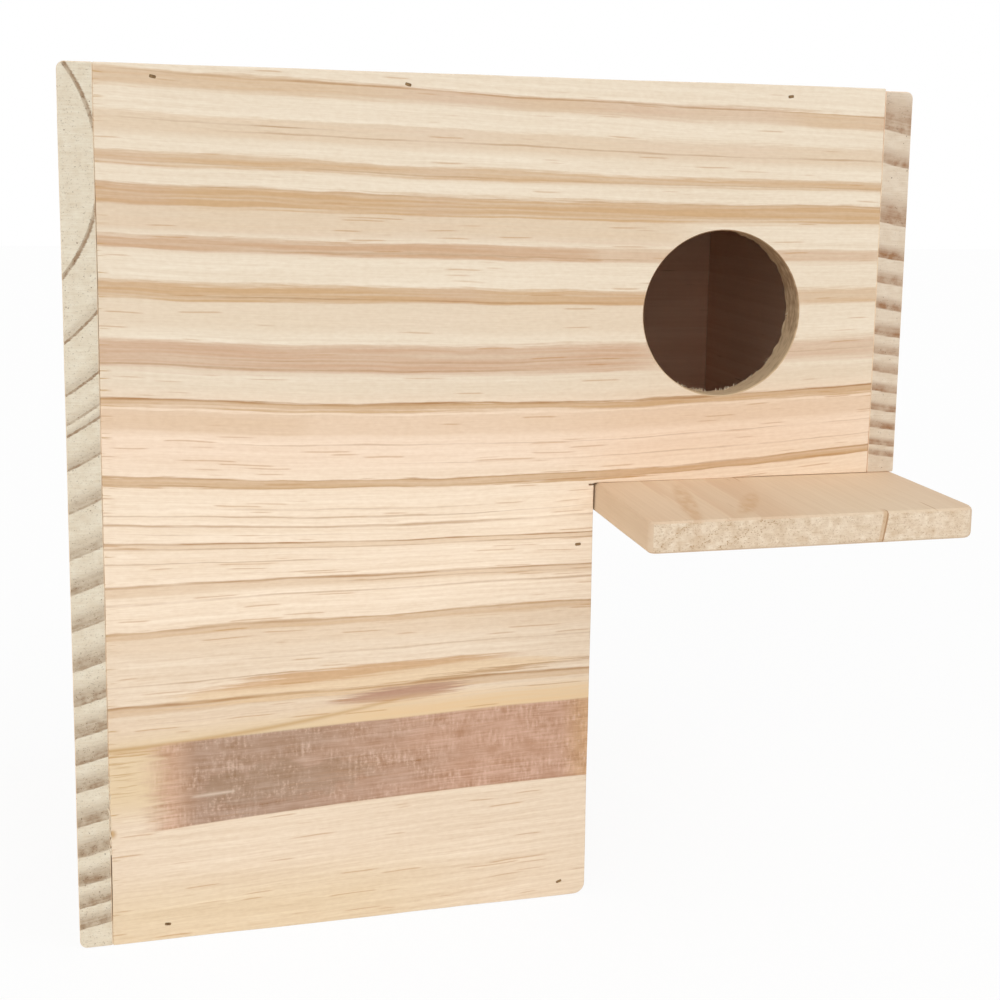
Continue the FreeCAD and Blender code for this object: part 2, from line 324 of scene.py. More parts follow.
def withResin(point, look, fray, colour):
    # a leaning resin crack at the board's front end and long soft stains, where the board has them
    if "resinAt" not in look:
        return colour
    along, across, up = point.split()
    lean = (up - look["resinLevel"]) * -look["resinLean"]
    field = lean + across + fray * 0.3
    at, ends = look["resinAt"], (-1000.0, look["resinEnd"])
    wide = bandShade(field, along, [(at - 1.2, at + 0.1, 0.9, 0.4, 0.6, *ends)], 6.0)
    dark = bandShade(field, along, [(at - 0.1, at + 0.1, 0.35, 0.35, 0.7, *ends)], 6.0)
    colour = mixed(dark, mixed(wide, colour, look["resin"]), look["resinDark"])
    patchy = noiseAt(point, (6, 3, 6), 3.0).smooth(0.35, 0.62, 0.3, 1.0)
    for middle, way, depth in look["stains"]:
        # middle and half length, as places along and across the grain
        away = vectorMaths("SUBTRACT", point, (*middle, 0.0))
        length = math.hypot(*way)
        sideways = Vector((-way[1], way[0], 0.0)) / (length * look["stainWidth"])
        axes = (Vector((*way, 0.0)) / length ** 2, sideways)
        lengths, sides = (vectorMaths("DOT_PRODUCT", away, axis, output="Value") for axis in axes)
        spread = lengths * lengths + sides * sides
        colour = mixed(spread.smooth(1.3, 0.1, 0.0, depth) * patchy, colour, look["resin"])
    return colour


def pineMaterial(name, look):
    material, surface = newMaterial(name)
    point = grainPoint(material, look["grain"])
    fibre = useGroup(pineFibre, point=point, dashShare=look["dashes"])
    late = ringShade(point, look, fibre["Streak"] * 4.0)
    drift = useGroup(handling, point=point)["Drift"]
    early = mixed(drift.smooth(-0.15, 0.15), look["early"], look["warm"])
    colour = mixed(late * look["contrast"], early, look["late"])
    colour = shaded(colour, (fibre["Fine"] * 0.5 + fibre["Streak"]) * look["streaks"])
    colour = mixed(fibre["Dash"] * 0.6, colour, look["dash"])
    colour = withResin(point, look, fibre["Streak"] * 6.0, colour)
    feed(surface, {"Base Color": colour, "Roughness": late * -0.1 + 0.66, "Specular IOR Level": 0.3,
                   "Normal": relief(fibre["Relief"], 0.3, 0.1)})
    return material


def endMaterial(name, look):
    material, surface = newMaterial(name)
    point = grainPoint(material, look["grain"])
    pores = useGroup(endPores, point=point, poreSize=look["poreSize"], poreShare=look["pores"])
    late = maths("POWER", ringShade(point, look, pores["Saw"] * 0.7), look["endCurve"])
    late = late * (pores["Fuzz"] * look["endBlotch"] + 1.0)
    colour = mixed(late * look["endContrast"], look["endPale"], look["endDark"])
    colour = shaded(colour, pores["Saw"] * 0.3 + pores["Fuzz"] * look["mottle"])
    colour = mixed(pores["Pore"] * (late * 0.6 + look["poreDepth"]), colour, look["endPore"])
    colour = mixed(pores["Pit"] * 0.6, colour, look["endPore"])
    colour = withResin(point, look, pores["Fuzz"], colour)
    feed(surface, {"Base Color": colour, "Roughness": 0.85, "Specular IOR Level": 0.15,
                   "Normal": relief(pores["Saw"] - pores["Pore"], 0.5, 0.15)})
    return material


pineLook = {
    "grain": alongX,
    "pith": (-60.0, 40.0),
    "ringWidth": 9.0,
    "sway": 9.0,
    "taper": 0.02,
    "seed": 1.0,
    "early": tone("eedcc2"),
    "warm": tone("f4dcc0"),
    "late": tone("cda67c"),
    "dash": tone("a9783f"),
    "contrast": 0.7,
    "streaks": 0.4,
    "dashes": 0.3,
    "endPale": tone("e5d9c4"),
    "endDark": tone("a0835f"),
    "endPore": tone("75593f"),
    "endContrast": 0.6,
    "endCurve": 1.3,
    "endBlotch": 1.4,
    "mottle": 0.3,
    "poreSize": 0.65,
    "poreDepth": 0.25,
    "pores": 0.6,
    "threadWidth": 1.1,
    "threadDepth": (0.8, 1.07),
}


def boardLook(**changes):
    return dict(pineLook, **changes)


# Board meshes

def circle(u, v, radius, count):
    turns = [math.tau * k / count for k in range(count)]
    return [Vector((u + radius * math.cos(a), v + radius * math.sin(a))) for a in turns]


def rectangle(low, high, axis, rounds=(0.0,) * 4):
    a, b = otherAxes(axis)
    corners = ((low[a], low[b]), (high[a], low[b]), (high[a], high[b]), (low[a], high[b]))
    return [(u, v, radius * mm) for (u, v), radius in zip(corners, rounds)]


def outlineOf(corners, step):
    # points round right-angled corners, each (u, v, radius), with the straight runs divided
    points = []
    arcSteps = 6
    for i, (u, v, radius) in enumerate(corners):
        here = Vector((u, v))
        nextU, nextV, nextRadius = corners[(i + 1) % len(corners)]
        back = (Vector(corners[i - 1][:2]) - here).normalized()
        ahead = (Vector((nextU, nextV)) - here).normalized()
        if radius:
            middle = here + (back + ahead) * radius
            turns = [math.radians(90 * k / arcSteps) for k in range(arcSteps + 1)]
            points += [middle - (ahead * math.cos(a) + back * math.sin(a)) * radius for a in turns]
        else:
            points.append(here)
        start = points[-1]
        target = Vector((nextU, nextV)) - ahead * nextRadius
        pieces = max(1, round((target - start).length / step))
        points += [start.lerp(target, k / pieces) for k in range(1, pieces)]
    return points


def loftMesh(name, rings):
    # a closed mesh through rings of points, where a ring of one point is a tip
    mesh = bmesh.new()
    loops = [[mesh.verts.new(point) for point in ring] for ring in rings]
    for loop in (loops[0], loops[-1]):
        if len(loop) > 1:
            mesh.faces.new(loop)
    for first, second in zip(loops, loops[1:]):
        for k in range(max(len(first), len(second))):
            steps = ((first, k), (first, k + 1), (second, k + 1), (second, k))
            corners = [loop[step % len(loop)] for loop, step in steps]
            mesh.faces.new(list(dict.fromkeys(corners)))
    bmesh.ops.recalc_face_normals(mesh, faces=mesh.faces)
    data = bpy.data.meshes.new(name)
    mesh.to_mesh(data)
    mesh.free()
    return data


def prismMesh(name, points, axis, low, high, wobble=0.0, seed=0):
    # a bar along one axis, its two ends wobbling a little, as sawn wood does
    u, v = otherAxes(axis)
    rings = ([], [])
    for ring, level in zip(rings, (low, high)):
        for point in points:
            place = Vector((0, 0, 0))
            place[axis], place[u], place[v] = level, *point
            coarse = noise.noise_vector(place * 24 + Vector((seed * 7.3, seed * 3.1, 0.0)))
            fine = noise.noise_vector(place * 75 + Vector((0.0, seed * 5.7, 2.0)))
            shift = coarse + fine * 0.4
            shift[axis] = 0.0
            ring.append(place + shift * wobble)
    return loftMesh(name, rings)


def newObject(name, data):
    made = bpy.data.objects.new(name, data)
    bpy.context.scene.collection.objects.link(made)
    return made


def joinMeshes(name, meshes):
    joinedUp = bmesh.new()
    for data in meshes:
        joinedUp.from_mesh(data)
        bpy.data.meshes.remove(data)
    data = bpy.data.meshes.new(name)
    joinedUp.to_mesh(data)
    joinedUp.free()
    return data


def settle(piece):
    # keeps what a piece's modifiers make as its plain mesh
    shown = piece.evaluated_get(bpy.context.evaluated_depsgraph_get())
    plain = bpy.data.meshes.new_from_object(shown)
    piece.modifiers.clear()
    piece.data = plain
    return plain


boardMaking = {
    "outlineStep": 8.0,
    "easeSteps": 3,
    "easedAngle": 40.0,
    "sharpAngle": 28.0,
    "endFacing": 0.8,  # how squarely a cut end looks along the grain
}


def boardPiece(name, data, materials, grain, easing, cutters):
    # eases the edges, makes the cuts, and gives cut ends the second material
    piece = newObject(name, data)
    ease = piece.modifiers.new("easedEdges", "BEVEL")
    ease.width = easing * mm
    ease.segments = boardMaking["easeSteps"]
    ease.limit_method = "ANGLE"
    ease.angle_limit = math.radians(boardMaking["easedAngle"])
    tool = None
    if cutters:
        tool = newObject(name + "Cuts", joinMeshes(name + "Cuts", cutters))
        cut = piece.modifiers.new("cuts", "BOOLEAN")
        cut.operation = "DIFFERENCE"
        cut.solver = "EXACT"
        cut.object = tool
    plain = settle(piece)
    plain.name = name
    if tool:
        bpy.data.objects.remove(tool)
    plain.materials.clear()
    for material in materials:
        plain.materials.append(material)
    for face in plain.polygons:
        isEnd = abs(face.normal[grain]) > boardMaking["endFacing"]
        face.material_index = int(isEnd and len(materials) > 1)
    plain.shade_smooth()
    plain.set_sharp_from_angle(angle=math.radians(boardMaking["sharpAngle"]))
    weigh = piece.modifiers.new("evenShading", "WEIGHTED_NORMAL")
    weigh.keep_sharp = True
    settle(piece)
    return piece


def finishPiece(piece, body, slot, *replaced):
    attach(piece, body)
    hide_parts(*replaced)
    print("  piece:", piece.name, len(piece.data.polygons), "faces")


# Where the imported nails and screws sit

def fastenerPlaces(node, drive, outward):
    # the middle of each fastener's outer end, read from the frame
    flat = otherAxes(drive)
    apart = 6 * mm  # fasteners of one group lie further apart than this
    groups = []
    for vertex in nodes[node].data.vertices:
        near = [g for g in groups if max(abs(vertex.co[k] - g[0][k]) for k in flat) < apart]
        if near:
            near[0].append(vertex.co.copy())
        else:
            groups.append([vertex.co.copy()])
    places = []
    for group in groups:
        middle = Vector([(min(p[k] for p in group) + max(p[k] for p in group)) / 2 for k in range(3)])
        ends = [p[drive] for p in group]
        middle[drive] = max(ends) if outward > 0 else min(ends)
        places.append(middle)
    return sorted(places, key=lambda p: tuple(round(v, 5) for v in p))


bradNails = {
    "groups": {  # node: drive axis, outward side
        "front_nails": (alongY, -1),
        "back_nails": (alongY, 1),
        "left_nails": (alongX, -1),
        "right_nails": (alongX, 1),
        "landing_nails": (alongZ, -1),
        "rail_nails": (alongX, -1),
    },
    "sizes": {
        "headLength": 2.1,
        "headWidth": 1.0,
        "headDepth": 1.2,
        "shankRadius": 0.65,
        "shankLength": 22.4,
    },
    "slotRoom": 0.05,
    "slotDepth": 1.3,
    "slotSides": 16,
    "lift": 0.3,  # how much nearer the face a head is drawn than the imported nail's end
    "mostTurn": 22.0,
    "seed": 41,
}

nailSpots = {}
turnPicker = random.Random(bradNails["seed"])
for node, (drive, outward) in bradNails["groups"].items():
    nailSpots[node] = []
    for place in fastenerPlaces(node, drive, outward):
        turn = math.radians(turnPicker.uniform(-1, 1) * bradNails["mostTurn"])
        place[drive] += outward * bradNails["lift"] * mm
        nailSpots[node].append((place, turn))
print("nails found:", {node: len(spots) for node, spots in nailSpots.items()})


def rootOf(value):
    return math.copysign(abs(value) ** 0.5, value)


def nailSlots(node):
    # one cutter for each nail of a group: a slot as punched by the nail's head
    drive, outward = bradNails["groups"][node]
    a, b = otherAxes(drive)
    room = bradNails["slotRoom"]
    length, width = (bradNails["sizes"][key] / 2 + room for key in ("headLength", "headWidth"))
    circlePoints = circle(0.0, 0.0, 1.0, bradNails["slotSides"])
    squared = [(length * rootOf(u) * mm, width * rootOf(v) * mm) for u, v in circlePoints]
    slots = []
    for place, turn in nailSpots[node]:
        corners = [(place[a] + u * math.cos(turn) - v * math.sin(turn),
                    place[b] + u * math.sin(turn) + v * math.cos(turn)) for u, v in squared]
        ends = (place[drive] + outward * past, place[drive] - outward * bradNails["slotDepth"] * mm)
        slots.append(prismMesh("slot", corners, drive, min(ends), max(ends)))
    return slots


# Front board: one wide plank, cut to an L, with the entrance, its growth bands and the rough planer miss.
# Heights and lengths are in mm from the board's lower left corner.

frontBoard = {
    "easing": 0.45,
    "wobble": 0.22,
    "cornerRound": 4.0,
    "outlineStep": 7.0,
    "entranceRadius": 30.0,
    "entranceSides": 120,
    "rimEasing": 0.35,
    "rearRag": 0.7,
    "overcut": (2.0, 0.8),
    "missDepth": 0.22,
    "missTop": (70.2, 0.055, -0.0001),  # height at the left edge, slope and bend
    "missLow": (39.0, 0.083, -0.00022),
    "missStart": (9.0, 21.0),
    "missRag": 14.0,
    "resinSpot": (0.4, 0.0, 40.6),
    "flowLean": (10.0, ((75, 92, -6.0), (118, 150, -24.0), (190, 240, 9.0))),
    "flowBow": (0.0, ((125, 150, 24.0), (150, 190, -4.5), (190, 240, -13.0), (240, 290, -4.5))),
    "paleTop": tone("eedec7"),
    "paleBelow": ((198, 186, tone("f7dec5")), (176, 158, tone("f8e3ca")), (120, 98, tone("eed9c0"))),
    "paleHoney": tone("e6cfac"),
    "late": tone("cfaa80"),
    "lateRose": tone("cfaa8b"),
    "line": tone("a9773f"),
    "dash": tone("bc8648"),
    "flame": tone("cfa478"),
    "lens": tone("b98f77"),
    "miss": tone("b0907b"),
    "missPink": tone("cda68b"),
    "missRed": tone("c89e86"),
    "missEdge": tone("cfa473"),
    "missOlive": tone("8c775f"),
    "missSpeck": tone("dcbda9"),
    "scratch": tone("ead6c4"),
    "vein": tone("c39a62"),
    "resin": tone("e5cb9f"),
    "resinBand": tone("ebcba0"),
    "bored": tone("d6ba96"),
    # a dark tone for the wall's pores, which also serves as painted shade at the wall's top
    "boredDarkAndPaintedShade": tone("9e7e60"),
    "endLook": boardLook(pith=(12.0, 75.0), ringWidth=8.0, sway=5.0, taper=0.0, seed=3.0),
}

# levels at the left edge: low, high, soft below, soft above, depth, then the ends of a short band
frontBands = [
    (294.5, 298.6, 2.0, 1.0, 0.60),
    (280.0, 285.0, 3.0, 1.5, 0.34),
    (269.8, 271.8, 2.2, 1.8, 0.75),
    (257.0, 261.5, 3.2, 2.0, 0.90),
    (249.0, 255.0, 3.5, 1.5, 0.36, -50, 190),
    (242.4, 244.7, 2.4, 2.0, 0.90, -50, 160),
    (242.4, 244.7, 2.4, 2.0, 0.62, 160, 400),
    (226.8, 230.1, 2.4, 2.0, 0.90, -50, 185),
    (226.8, 230.1, 2.4, 2.0, 0.62, 185, 400),
    (218.0, 225.0, 4.0, 2.0, 0.20, -50, 180),
    (203.7, 210.6, 3.0, 2.8, 0.82, -50, 180),
    (204.7, 209.2, 3.0, 2.8, 0.60, 180, 400),
    (193.5, 199.0, 3.0, 3.0, 0.12),
    (190.2, 191.8, 1.6, 0.5, 0.85),
    (182.5, 187.5, 3.0, 1.5, 0.42, -50, 60),
    (182.5, 187.5, 3.0, 1.5, 0.30, 60, 400),
    (162.6, 165.0, 0.8, 0.6, 0.80),
    (140.9, 142.2, 1.0, 0.6, 0.35),
    (124.6, 127.2, 1.5, 0.6, 0.38),
    (109.4, 111.2, 1.4, 0.7, 0.60),
    (105.0, 109.0, 3.5, 0.8, 0.22),
    (82.6, 84.8, 1.5, 0.8, 0.55),
    (72.5, 80.0, 3.0, 2.0, 0.18, -50, 90),
    (68.6, 70.2, 1.5, 0.6, 0.40, -50, 130),
]

# where the latewood is rosier, laid out as the bands are
roseBands = [
    (238.0, 247.0, 3.0, 3.0, 0.70),
    (201.0, 213.0, 3.0, 3.0, 1.00),
]

# thin dark lines: level, thickness and depth, then the ends of a short line
frontLines = [
    (298.3, 0.6, 0.55, 30, 400),
    (283.2, 0.5, 0.60, 25, 60),
    (281.2, 0.6, 0.45, 60, 300),
    (269.6, 0.5, 0.35, 40, 300),
    (262.3, 0.6, 0.35),
    (242.0, 0.6, 0.40, 60, 170),
    (227.0, 0.5, 0.50, 50, 160),
    (203.4, 0.7, 0.40, -50, 130),
    (206.5, 0.6, 0.30, 60, 260),
    (191.9, 0.9, 0.85),
    (177.6, 0.45, 0.40, 60, 330),
    (171.0, 0.4, 0.35, 120, 330),
    (165.2, 0.6, 0.60),
    (162.7, 0.5, 0.45),
    (155.2, 0.5, 0.40, 60, 110),
    (152.4, 0.5, 0.50, -50, 150),
    (149.1, 1.0, 0.55),
    (146.0, 0.4, 0.30, 20, 90),
    (142.6, 0.8, 0.90),
    (140.7, 0.6, 0.55),
    (135.3, 0.7, 0.50, 0, 60),
    (127.6, 1.0, 0.75),
    (125.5, 0.5, 0.45, 95, 400),
    (121.2, 0.9, 0.50),
    (111.2, 0.8, 0.50),
    (99.0, 0.4, 0.30, 60, 180),
    (92.8, 0.5, 0.50, 0, 55),
    (85.0, 1.3, 0.75),
    (78.5, 0.4, 0.30, 30, 150),
    (70.4, 0.9, 0.75, -50, 60),
]

# long lenses of colour: middle curve, half thickness, then where it begins, is full, thins and ends
frontWedges = {
    "glow": ((84.6, 0.07, -0.00015), 4.5, (0, 70, 95, 190)),
    "flame": ((87.2, 0.0765, -0.00015), 2.3, (0, 70, 85, 165)),
    "lens": ((77.2, 0.064, 0.0), 2.3, (66, 96, 104, 134)),
    "tail": ((79.0, 0.085, -0.00005), 0.7, (98, 120, 130, 210)),
    "vein": ((70.5, 0.03, 0.0008), 0.7, (-20, 0, 60, 120)),
    "olive": ((50.5, 0.06, 0.0), 7.0, (26, 40, 62, 105)),
    "scratch": ((49.8, 0.06, 0.0), 0.3, (25, 33, 39, 43)),
}


def curveAt(along, curve):
    # the height of a curve, for a wire or a plain number
    height, slope, bend = curve
    return along * (along * bend + slope) + height


def wedge(along, up, name):
    # a long thin lens of colour that follows a curve and thins to both ends
    curve, thick, (begin, full, thin, end) = frontWedges[name]
    share = along.smooth(begin, full) * along.smooth(end, thin)
    away = maths("ABSOLUTE", up - curveAt(along, curve))
    return (share * thick - away).smooth(-0.9, 1.1) * share.smooth(0.0, 0.4)


def steppedAt(up, start, steps):
    # a value that changes by soft steps up the board: from, to and change
    value = start
    for low, high, change in steps:
        value = up.smooth(low, high, 0.0, change) + value
    return value


def frontFlow(point, along, up, length):
    # the bands lean down to the right at the top, sag in the middle and rise at the foot
    share = along / length
    lean = steppedAt(up, *frontBoard["flowLean"])
    bow = steppedAt(up, *frontBoard["flowBow"])
    sway = noiseAt(point, (75, 40, 26)) - 0.5
    shiver = noiseAt(point, (16, 40, 3), 1.0) - 0.5
    return up - (bow * share + lean) * share + sway * 3.0 + shiver * 0.7


def plankColour(along, up, field, fibre, drift):
    # pale wood with its latewood bands, dark lines, flame and lens
    fray = fibre["Fine"] * 1.8 + fibre["Streak"] * 4.5
    late = bandShade(field + fray, along, frontBands) * (fibre["Streak"] * 1.9 + 0.97)
    thin = [(level, level, size * 0.8, size * 0.8, *rest) for level, size, *rest in frontLines]
    broken = noiseAt(joined(along, 0.0, field), (34, 40, 2.5))
    lines = bandShade(fray * 0.3 + field, along, thin) * broken.smooth(0.3, 0.6, 0.25, 1.0)
    pale = frontBoard["paleTop"]
    for high, low, finish in frontBoard["paleBelow"]:
        pale = mixed(field.smooth(high, low), pale, finish)
    honey = up.smooth(30.0, 8.0) * along.smooth(150.0, 80.0, 0.1, 0.7)
    pale = mixed(honey, pale, frontBoard["paleHoney"])
    rose = drift.smooth(-0.05, 0.2) * field.smooth(188.0, 200.0)
    rose = maths("MAXIMUM", rose, bandShade(field, along, roseBands))
    colour = mixed(late, pale, mixed(rose, frontBoard["late"], frontBoard["lateRose"]))
    level = fray * 1.6 + up
    colour = mixed(wedge(along, level, "glow") * 0.55, colour, frontBoard["resinBand"])
    colour = mixed(wedge(along, level, "flame") * 0.75, colour, frontBoard["flame"])
    colour = mixed(lines, colour, frontBoard["line"])
    lens = wedge(along, level, "lens") * (fibre["Streak"] * 1.6 + 0.9)
    colour = mixed(lens, colour, frontBoard["lens"])
    colour = mixed(wedge(along, level, "tail") * 0.7, colour, frontBoard["line"])
    streaks = (fibre["Fine"] * 0.6 + fibre["Streak"]) * field.smooth(168.0, 150.0, 0.3, 0.46)
    return shaded(colour, fibre["Fleck"] * 0.18 + streaks)


def missColour(point, along, up, fibre):
    # rough wood that the planer left: redder to the right, with cross lines and pale specks
    mauve = mixed(along.smooth(19.0, 31.0), frontBoard["missPink"], frontBoard["miss"])
    redder = noiseAt(point, (30, 40, 9)) * 60.0 + along
    colour = mixed(redder.smooth(80.0, 170.0), mauve, frontBoard["missRed"])
    colour = mixed(along.smooth(158.0, 170.0, 0.0, 0.6), colour, frontBoard["missEdge"])
    crowd = noiseAt(point, (16, 40, 7))
    crossLines = (noiseAt(point, (1.1, 40, 4.0), 3.0) - 0.5) * crowd.smooth(0.35, 0.65, 0.15, 1.7)
    threads = fibre["Fine"] * 0.9 + fibre["Streak"]
    blotch = noiseAt(point, (8, 40, 5), 3.0) - 0.5
    colour = shaded(colour, blotch * 0.8 + crossLines * 0.7 + threads * 0.75)
    olive = wedge(along, blotch * 22.0 + up, "olive")
    colour = mixed(olive * 0.22, colour, frontBoard["missOlive"])
    grains = crossLines * 0.5 + noiseAt(point, (1.1, 40, 0.8))
    specks = (crowd * 0.45 + grains).smooth(0.74, 1.06)
    colour = mixed(specks * 0.52, colour, frontBoard["missSpeck"])
    return mixed(wedge(along, up, "scratch"), colour, frontBoard["scratch"])


def resinColour(colour, along, up, fromTop, fromLow, fibre, drift):
    # yellow resin round the planer miss, a vein over it, and stains at the board's left end
    resin = fromTop.smooth(-8.0, 1.0) * fromLow.smooth(2.0, 14.0) * (drift + 0.6)
    colour = mixed(resin, colour, frontBoard["resin"])
    rim = fromTop.smooth(-10.0, -2.0) * fromTop.smooth(1.0, 0.0) * (fibre["Streak"] * 1.6 + 0.95)
    colour = mixed(rim * along.smooth(55.0, 95.0, 0.0, 0.85), colour, frontBoard["resinBand"])
    colour = mixed(wedge(along, up, "vein") * 0.75, colour, frontBoard["vein"])
    threads = fibre["Fine"] * 0.7 + fibre["Streak"]
    stain = threads.smooth(-0.02, 0.16) * along.smooth(21.0, 4.0, 0.0, 0.6)
    stain = stain * fromLow.smooth(6.0, 18.0) * fromTop.smooth(-1.0, 1.0)
    nicks = threads.smooth(0.05, 0.2) * along.smooth(5.0, 0.5, 0.0, 0.8)
    colour = mixed(maths("MAXIMUM", stain, nicks), colour, frontBoard["vein"])
    spot = vectorMaths("DISTANCE", joined(along, 0.0, up), frontBoard["resinSpot"], output="Value")
    return mixed(spot.smooth(2.4, 0.3, 0.0, 0.8), colour, frontBoard["vein"])


def frontMaterial(name, corner, length):
    material, surface = newMaterial(name)
    point = grainPoint(material, alongX, corner)
    along, inward, up = point.split()
    field = frontFlow(point, along, up, length)
    flow = joined(along, inward, field)  # the point, straightened along the grain
    fibre = useGroup(pineFibre, point=flow, dashShare=up.smooth(230.0, 150.0, 0.36, 0.5))
    drift = useGroup(handling, point=point, size=55.0)["Drift"]
    colour = plankColour(along, up, field, fibre, drift)
    # the miss has a sharp low edge, a ragged top edge and a soft left end
    fromTop = curveAt(along, frontBoard["missTop"]) - up + fibre["Streak"] * 3.0
    fromLow = up - curveAt(along, frontBoard["missLow"])
    colour = resinColour(colour, along, up, fromTop, fromLow, fibre, drift)
    leftEnd = (noiseAt(point, (14, 40, 1.6)) - 0.5) * frontBoard["missRag"] + along
    inside = fromTop.smooth(-0.5, 0.9) * fromLow.smooth(-0.2, 0.2)
    skin = inward.smooth(2.0, 0.9)  # only the outer face was missed
    miss = inside * leftEnd.smooth(*frontBoard["missStart"]) * skin
    colour = mixed(miss * 0.95, colour, missColour(point, along, up, fibre))
    colour = mixed(fibre["Dash"] * miss.smooth(1.0, 0.2, 0.12, 0.5), colour, frontBoard["dash"])
    feed(surface, {"Base Color": colour, "Roughness": miss.smooth(0.0, 1.0, 0.62, 0.85),
                   "Specular IOR Level": 0.3, "Normal": relief(fibre["Relief"], 0.3, 0.1)})
    return material


def boredMaterial(name, corner, height):
    # the entrance's sawn wall: fuzzy, half end grain, with painted light and shade: paler towards its foot,
    # which faces up to the lamps, and darker at its top, which faces down
    material, surface = newMaterial(name)
    point = grainPoint(material, alongX, corner)
    pores = useGroup(endPores, point=point, poreSize=0.5, poreShare=0.4)
    scratches = noiseAt(point, (4.0, 1.1, 4.0), 3.0)
    # painted light and shade: lighter low on the wall and darker high on it, as the light falls
    foot = point.split()[2].smooth(height + 16.0, height - 22.0, -0.16, 0.29)
    shade = (pores["Fuzz"] * 0.6 + scratches + foot).smooth(0.15, 0.85)
    # the dark end of this mix is partly the wall's own dark fuzz and partly painted shade
    colour = mixed(shade, frontBoard["boredDarkAndPaintedShade"], frontBoard["bored"])
    colour = mixed(pores["Pore"] * 0.3, colour, frontBoard["boredDarkAndPaintedShade"])
    feed(surface, {"Base Color": colour, "Roughness": 0.9, "Specular IOR Level": 0.1,
                   "Normal": relief(scratches + pores["Fuzz"], 0.4, 0.15)})
    return material


def entranceCutter(middle, front, back):
    # a turned cutter: eased at the front rim, ragged at the rear one
    radius = frontBoard["entranceRadius"] * mm
    ease = frontBoard["rimEasing"] * mm
    ragFrom, ragFull = back - 2.2 * mm, back - 0.3 * mm
    levels = [(front - past, radius + ease, 0.0), (front, radius + ease, 0.0), (front + ease, radius, 0.0),
              (ragFrom, radius, 0.0), (ragFull, radius, 1.0), (back + past, radius, 1.0)]
    rings = []
    for y, size, rag in levels:
        rings.append([])
        for u, v in circle(0.0, 0.0, 1.0, frontBoard["entranceSides"]):
            coarse = noise.noise(Vector((u * 5, v * 5, 3.7)))
            fine = noise.noise(Vector((u * 15, v * 15, 9.1)))
            reach = size + rag * (coarse * 0.6 + fine) * frontBoard["rearRag"] * mm
            rings[-1].append((middle.x + reach * u, y, middle.z + reach * v))
    return loftMesh("entranceCutter", rings)


def missCutter(corner, width):
    # a shallow wedge: deepest at the sharp low edge, running out at the top and the left
    start = frontBoard["missStart"][0]
    steps, runOut, beyond = 36, 16.0, 4.0
    skim, shallowest = 0.02, 0.03
    rows = []
    for k in range(steps + 1):
        x = start + (width - start + beyond) * k / steps
        top, low = (curveAt(x, frontBoard[edge]) for edge in ("missTop", "missLow"))
        depth = max(shallowest, frontBoard["missDepth"] * min(1.0, (x - start) / runOut))
        row = ((-past / mm, low), (depth, low), (skim, top), (-past / mm, top))
        rows.append([corner + Vector((x, y, z)) * mm for y, z in row])
    return loftMesh("missCutter", rows)


def panelCorners(low, high, tower, ledge):
    # the L outline that the front and back boards share
    return [(low.x, low.z, 0.0), (tower, low.z, frontBoard["cornerRound"] * mm), (tower, ledge, 0.0),
            (high.x, ledge, 0.0), (high.x, high.z, 0.0), (low.x, high.z, 0.0)]


panelLow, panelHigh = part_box("front_panel")
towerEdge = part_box("head_rail")[1].x
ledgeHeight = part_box("landing_board")[1].z
entranceBox = [o for o in frame["record"]["physics"]["openings"] if o["name"] == "entrance"][0]["box_m"]
entranceMiddle = (Vector(entranceBox[0]) + Vector(entranceBox[1])) / 2
frontCorner = tuple(v / mm for v in panelLow)

corners = panelCorners(panelLow, panelHigh, towerEdge, ledgeHeight)
outline = outlineOf(corners, frontBoard["outlineStep"] * mm)
frontMesh = prismMesh("front_board", outline, alongY, panelLow.y, panelHigh.y, frontBoard["wobble"] * mm, 3)
overLong, overHigh = (size * mm for size in frontBoard["overcut"])
overcutLow = Vector((towerEdge - overLong, 0.0, ledgeHeight - overHigh))
overcutHigh = Vector((towerEdge + past, 0.0, ledgeHeight - 0.1 * mm))
overcut = [corner[:2] for corner in rectangle(overcutLow, overcutHigh, alongY)]
cutters = nailSlots("front_nails")
cutters.append(entranceCutter(entranceMiddle, panelLow.y, panelHigh.y))
cutters.append(missCutter(panelLow, (towerEdge - panelLow.x) / mm))
cutters.append(prismMesh("overcut", overcut, alongY, panelLow.y - past, panelHigh.y + past))
frontFinishes = [
    frontMaterial("frontPine", frontCorner, (panelHigh.x - panelLow.x) / mm),
    boredMaterial("boredPine", frontCorner, (entranceMiddle.z - panelLow.z) / mm),
    endMaterial("frontEnd", frontBoard["endLook"]),
]
front = boardPiece("front_board", frontMesh, frontFinishes, alongX, frontBoard["easing"], cutters)
nearEntrance = (frontBoard["entranceRadius"] + 2.0) * mm
for face in front.data.polygons:
    fromMiddle = face.center - entranceMiddle
    fromMiddle.y = 0.0
    inEntrance = fromMiddle.length < nearEntrance and abs(face.normal.y) < 0.9
    sawnEnd = abs(face.normal.x) > boardMaking["endFacing"]
    face.material_index = 1 if inEntrance else 2 if sawnEnd else 0
finishPiece(front, "box", "pine", "front_panel")


# The other boards of the box

creamPine = {"early": tone("f2dec2"), "warm": tone("f5dbc0"), "late": tone("d8b48c")}

# painted light: the faces inside the entrance chamber get their own plainer, warmer copy of the pine
# finish, which stands in for the warm light bounced round inside the chamber
innerLook = {
    "early": tone("f8d0b4"),
    "warm": tone("f7caac"),
    "late": tone("ebb692"),
    "contrast": 0.3,
    "streaks": 0.2,
    "dashes": 0.1,
}

